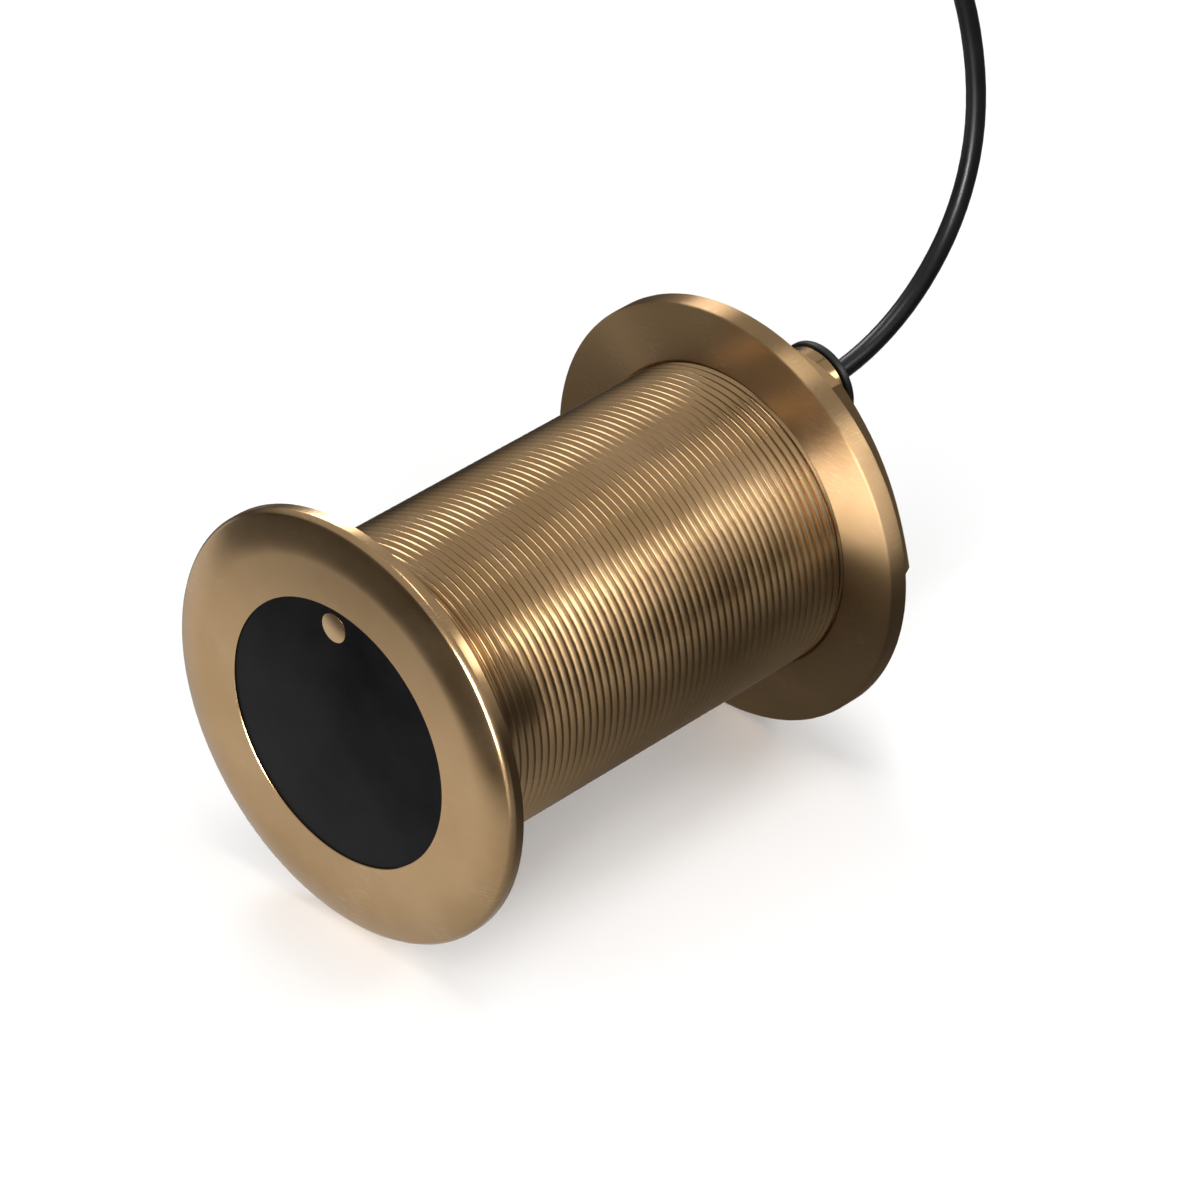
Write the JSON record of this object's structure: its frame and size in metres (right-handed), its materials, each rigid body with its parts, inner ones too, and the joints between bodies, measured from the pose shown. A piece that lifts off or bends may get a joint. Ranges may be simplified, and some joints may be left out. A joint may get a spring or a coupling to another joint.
{
  "type": "sonar transducer",
  "caption": "Bronze through-hull sonar transducer: round flanged threaded stem, flush black face with temperature button, hexagonal hull nut and coiled cable.",
  "frame": {"origin": "centre of the sonar face, in the plane of the flange's front face, which it stands on", "axes": "+Z along the stem from the face to the cable's end, +X from the centre of the face to the temperature button"},
  "size_m": [0.3658, 0.1019, 0.2047],
  "materials": {
    "bronze": "turned bronze, satin, lightly worn",
    "nut_bronze": "turned bronze, satin",
    "window_black": "black cast urethane, smooth satin",
    "button_bronze": "faced bronze, satin",
    "cable_black": "black cable jacket, satin",
    "rubber_black": "moulded black rubber",
    "ceramic": "fired piezo ceramic with silvered faces",
    "cork": "cork and rubber sheet",
    "cup_grey": "moulded grey plastic",
    "potting_amber": "cast urethane fill",
    "ferrite": "ferrite",
    "enamel_wire": "enamelled copper wire",
    "board_green": "glass-fibre board with green resist",
    "part_black": "moulded component",
    "wire_red": "red wire insulation",
    "wire_white": "white wire insulation",
    "crimp_metal": "plain brass",
    "tie_black": "black tie",
    "plug_black": "moulded black plug shell",
    "pin_gold": "gilt contact"
  },
  "bodies": {
    "body": {"housing": "bronze", "acoustic_window": "window_black", "temperature_button": "button_bronze", "thermistor": "part_black", "piezo_disc": "ceramic", "isolation_ring": "cork", "backing_disc": "cork", "element_cup": "cup_grey", "element_lead_hot": "wire_red", "element_lead_ground": "wire_white", "rear_potting": "potting_amber", "transformer_core": "ferrite", "transformer_winding": "enamel_wire", "circuit_board": "board_green", "identity_chip": "part_black", "board_capacitor": "part_black", "board_resistors": "part_black", "thermistor_leads": "wire_white", "transformer_leads": "enamel_wire", "cable_cores": "wire_red", "cable_grommet": "rubber_black", "cable_tail": "cable_black", "cable_ferrule": "crimp_metal", "cable_run": "cable_black", "plug_lead": "cable_black", "cable_coil": "cable_black", "coil_ties": "tie_black", "plug_boot": "rubber_black", "plug_body": "plug_black", "plug_insert": "part_black", "plug_seal": "rubber_black", "plug_pins": "pin_gold"},
    "nut": {"hull_nut": "nut_bronze"},
    "coupling_ring": {"plug_ring": "plug_black"}
  },
  "joints": [
    {"name": "nut_travel", "type": "slide", "parent": "body", "child": "nut", "axis": [0, 0, 1], "range_m": [-0.1116, 0.0008]},
    {"name": "ring_turn", "type": "hinge", "parent": "body", "child": "coupling_ring", "pos_m": [0.306, 0.042, 0.0092], "axis": [0, 1, 0], "continuous": true}
  ]
}
